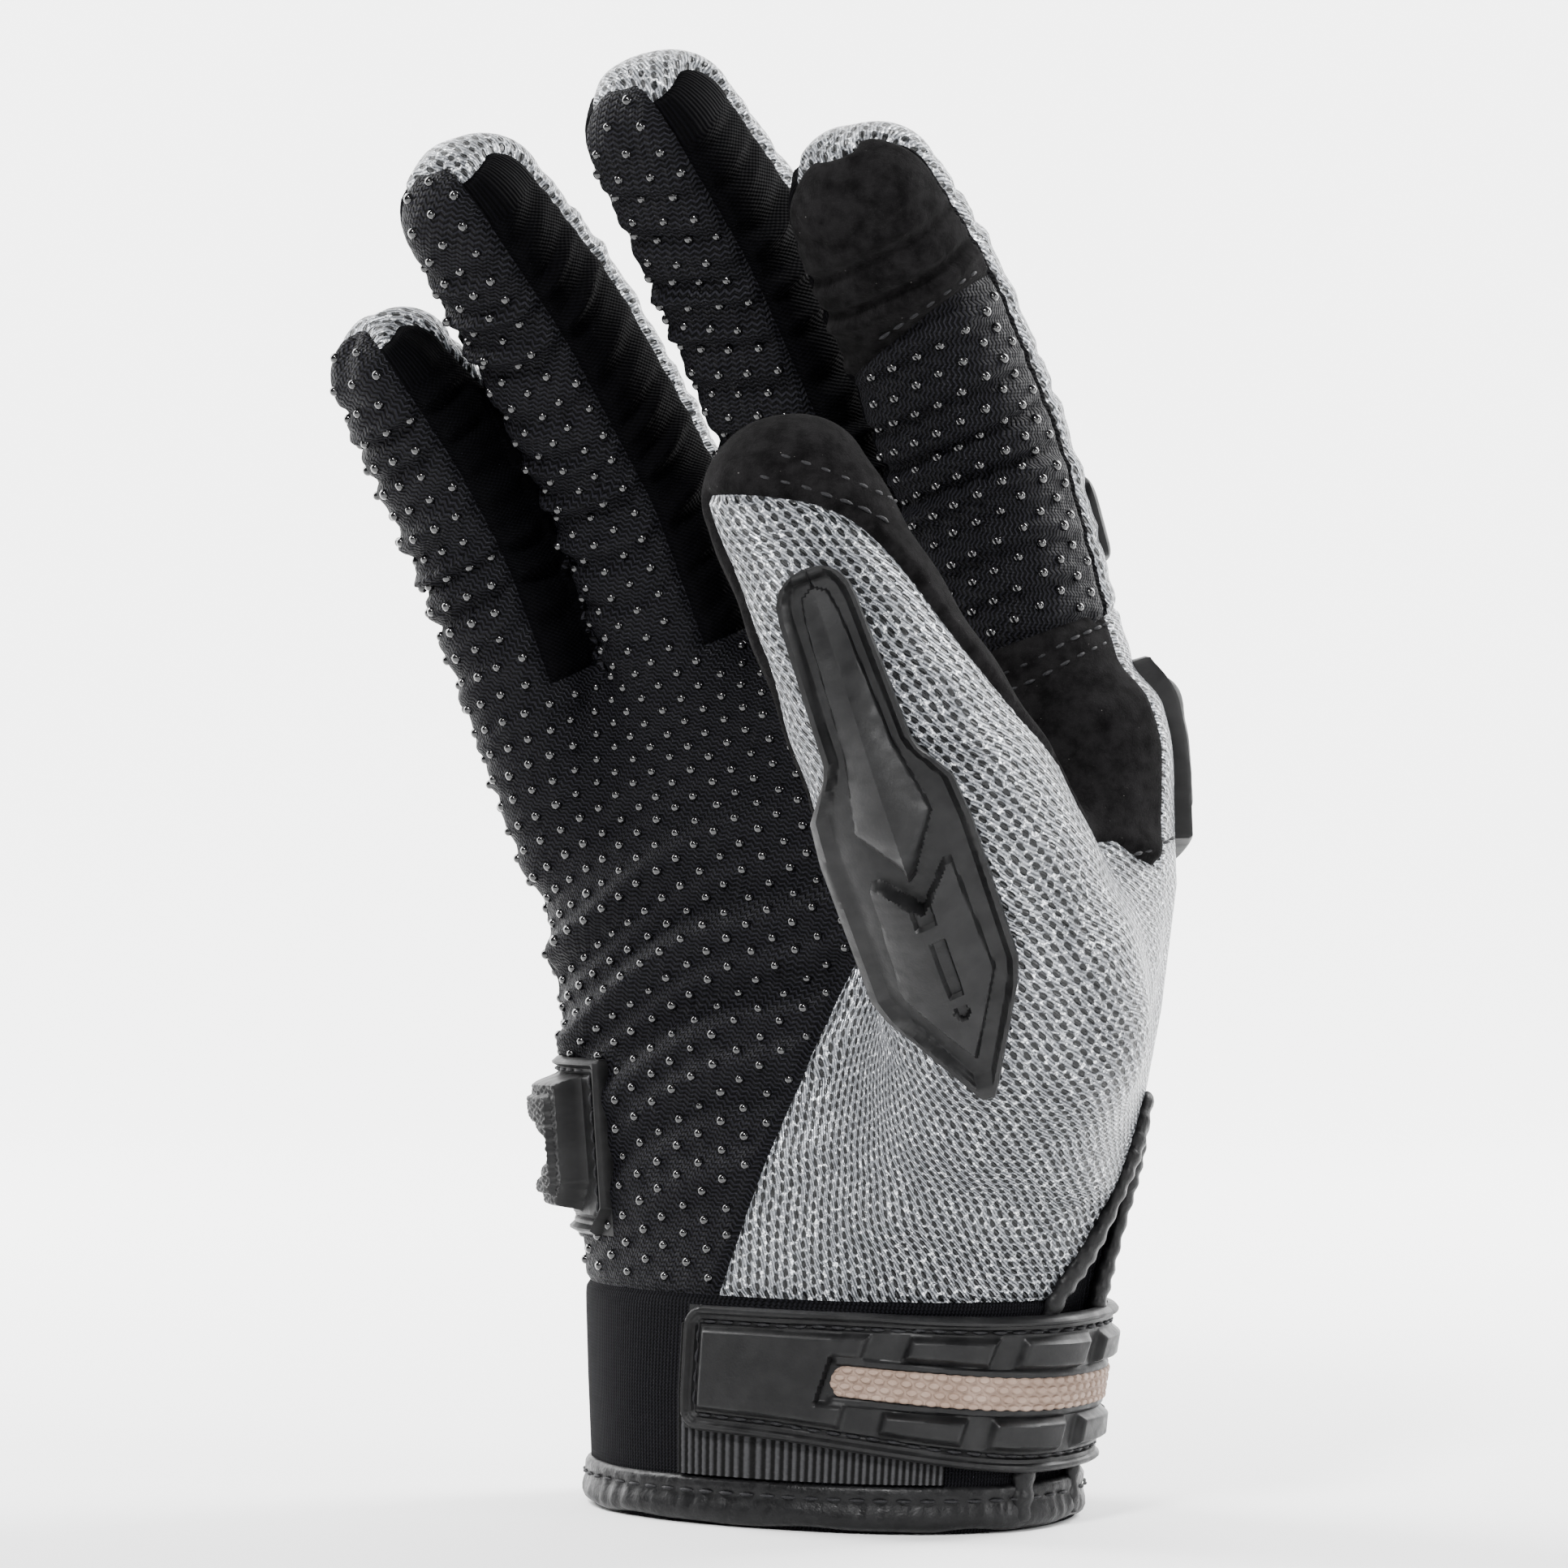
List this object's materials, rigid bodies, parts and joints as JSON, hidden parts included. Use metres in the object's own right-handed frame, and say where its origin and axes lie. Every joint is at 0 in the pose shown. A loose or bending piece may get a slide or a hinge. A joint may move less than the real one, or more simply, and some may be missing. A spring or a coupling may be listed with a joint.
{
  "type": "riding glove",
  "caption": "Right-hand motorcycle riding glove with knit palm, mesh back, moulded rubber guards, palm slider and a wide wrist strap.",
  "frame": {"origin": "centre of the wrist opening, in the plane of the hem", "axes": "+Z along the hand towards the fingertips, -Y out of the palm, +X towards the thumb side"},
  "size_m": [0.1321, 0.1064, 0.2285],
  "materials": {
    "dot_knit": "black zigzag stretch knit printed with raised clear-black silicone dots",
    "mesh": "silver-grey open spacer mesh, rows of knitted loops",
    "lycra": "smooth black stretch lycra with a fine diagonal weave",
    "suede": "black brushed microfibre suede, matt",
    "tpr": "matt black moulded thermoplastic rubber, fine grain",
    "tan_rubber": "tan rubber with staggered oval studs, satin",
    "neoprene": "black jersey-faced neoprene",
    "faux_leather": "black faux leather binding, satin with creases",
    "loop": "black ribbed loop fastener",
    "hook": "black hook fastener",
    "lining": "dark grey brushed tricot lining",
    "foam": "cream open-cell foam pad"
  },
  "bodies": {
    "hand": {"palm_front": "dot_knit", "ulnar_wrap": "dot_knit", "hand_back": "mesh", "heel_gore": "mesh", "web_patch": "suede", "thenar_gusset": "mesh", "finger_roots_front": "dot_knit", "finger_roots_back": "mesh", "knuckle_guard": "tpr", "knuckle_foam": "foam", "palm_slider_flange": "tpr", "palm_slider_block": "tpr", "cuff_band": "neoprene", "hem_binding": "faux_leather", "slit_gusset": "neoprene", "slit_binding": "faux_leather", "loop_patch": "loop", "strap_anchor": "tpr", "tan_strip_anchor": "tan_rubber", "cuff_lining": "lining", "index_root_gusset": "dot_knit", "middle_root_gusset": "dot_knit", "ring_root_gusset": "dot_knit", "little_root_gusset": "dot_knit", "flap_hinge_web": "tpr"},
    "index_base": {"index_base_front": "dot_knit", "index_base_back": "mesh", "index_walls": "lycra", "index_guard": "tpr"},
    "index_tip": {"index_tip_front": "dot_knit", "index_tip_back": "mesh", "index_touch_pad": "suede"},
    "middle_base": {"middle_base_front": "dot_knit", "middle_base_back": "mesh", "middle_walls": "lycra", "middle_guard": "tpr"},
    "middle_tip": {"middle_tip_front": "dot_knit", "middle_tip_back": "mesh"},
    "ring_base": {"ring_base_front": "dot_knit", "ring_base_back": "mesh", "ring_walls": "lycra", "ring_guard": "tpr"},
    "ring_tip": {"ring_tip_front": "dot_knit", "ring_tip_back": "mesh"},
    "little_base": {"little_base_front": "dot_knit", "little_base_back": "mesh", "little_walls": "lycra"},
    "little_tip": {"little_tip_front": "dot_knit", "little_tip_back": "mesh"},
    "thumb": {"thumb_back": "mesh", "thumb_pad": "suede", "thumb_guard": "tpr", "thumb_tip_gusset": "lycra"},
    "thumb_tip": {"thumb_tip_back": "mesh", "thumb_tip_pad": "suede"},
    "strap_flap": {"flap_plate": "tpr", "flap_tan_strip": "tan_rubber", "hook_patch": "hook"}
  },
  "joints": [
    {"name": "index_root_flex", "type": "hinge", "parent": "hand", "child": "index_base", "pos_m": [0.03697, -0.00976, 0.14662], "axis": [0.9877, 0, 0.1564], "range_deg": [-8, 6], "stiffness_Nm_per_rad": 0.12, "deforming": ["index_root_gusset"]},
    {"name": "index_mid_flex", "type": "hinge", "parent": "index_base", "child": "index_tip", "pos_m": [0.03395, -0.01494, 0.1657], "axis": [0.9877, 0, 0.1564], "range_deg": [-8, 9], "stiffness_Nm_per_rad": 0.12, "deforming": ["index_walls"]},
    {"name": "middle_root_flex", "type": "hinge", "parent": "hand", "child": "middle_base", "pos_m": [0.0077, -0.00826, 0.15052], "axis": [0.9799, 0, 0.1994], "range_deg": [-8, 20], "stiffness_Nm_per_rad": 0.12, "deforming": ["middle_root_gusset"]},
    {"name": "middle_mid_flex", "type": "hinge", "parent": "middle_base", "child": "middle_tip", "pos_m": [0.00305, -0.01406, 0.17334], "axis": [0.9799, 0, 0.1994], "range_deg": [-8, 30], "stiffness_Nm_per_rad": 0.12, "deforming": ["middle_walls"]},
    {"name": "ring_root_flex", "type": "hinge", "parent": "hand", "child": "ring_base", "pos_m": [-0.02274, -0.00976, 0.14592], "axis": [0.9636, 0, 0.2672], "range_deg": [-8, 20], "stiffness_Nm_per_rad": 0.12, "deforming": ["ring_root_gusset"]},
    {"name": "ring_mid_flex", "type": "hinge", "parent": "ring_base", "child": "ring_tip", "pos_m": [-0.02791, -0.01494, 0.16454], "axis": [0.9636, 0, 0.2672], "range_deg": [-8, 30], "stiffness_Nm_per_rad": 0.12, "deforming": ["ring_walls"]},
    {"name": "little_root_flex", "type": "hinge", "parent": "hand", "child": "little_base", "pos_m": [-0.04763, -0.01365, 0.13762], "axis": [0.9703, 0, 0.2419], "range_deg": [-8, 20], "stiffness_Nm_per_rad": 0.12, "deforming": ["little_root_gusset"]},
    {"name": "little_mid_flex", "type": "hinge", "parent": "little_base", "child": "little_tip", "pos_m": [-0.05203, -0.0192, 0.15525], "axis": [0.9703, 0, 0.2419], "range_deg": [-8, 30], "stiffness_Nm_per_rad": 0.12, "deforming": ["little_walls"]},
    {"name": "thumb_swing", "type": "hinge", "parent": "hand", "child": "thumb", "pos_m": [0.038, -0.013, 0.062], "axis": [-0.5303, 0.6988, 0.4802], "range_deg": [-6, 12], "stiffness_Nm_per_rad": 0.2, "deforming": ["thenar_gusset"]},
    {"name": "thumb_tip_flex", "type": "hinge", "parent": "thumb", "child": "thumb_tip", "pos_m": [0.0295, -0.0598, 0.1479], "axis": [0.765, 0.4756, 0.4342], "range_deg": [-25, 6], "stiffness_Nm_per_rad": 0.12, "deforming": ["thumb_tip_gusset"]},
    {"name": "strap_flap_peel", "type": "hinge", "parent": "hand", "child": "strap_flap", "pos_m": [0.04485, -0.00905, 0.022], "axis": [0.1566, 0.0012, 0.9877], "range_deg": [0, 100], "deforming": ["flap_hinge_web"]}
  ]
}
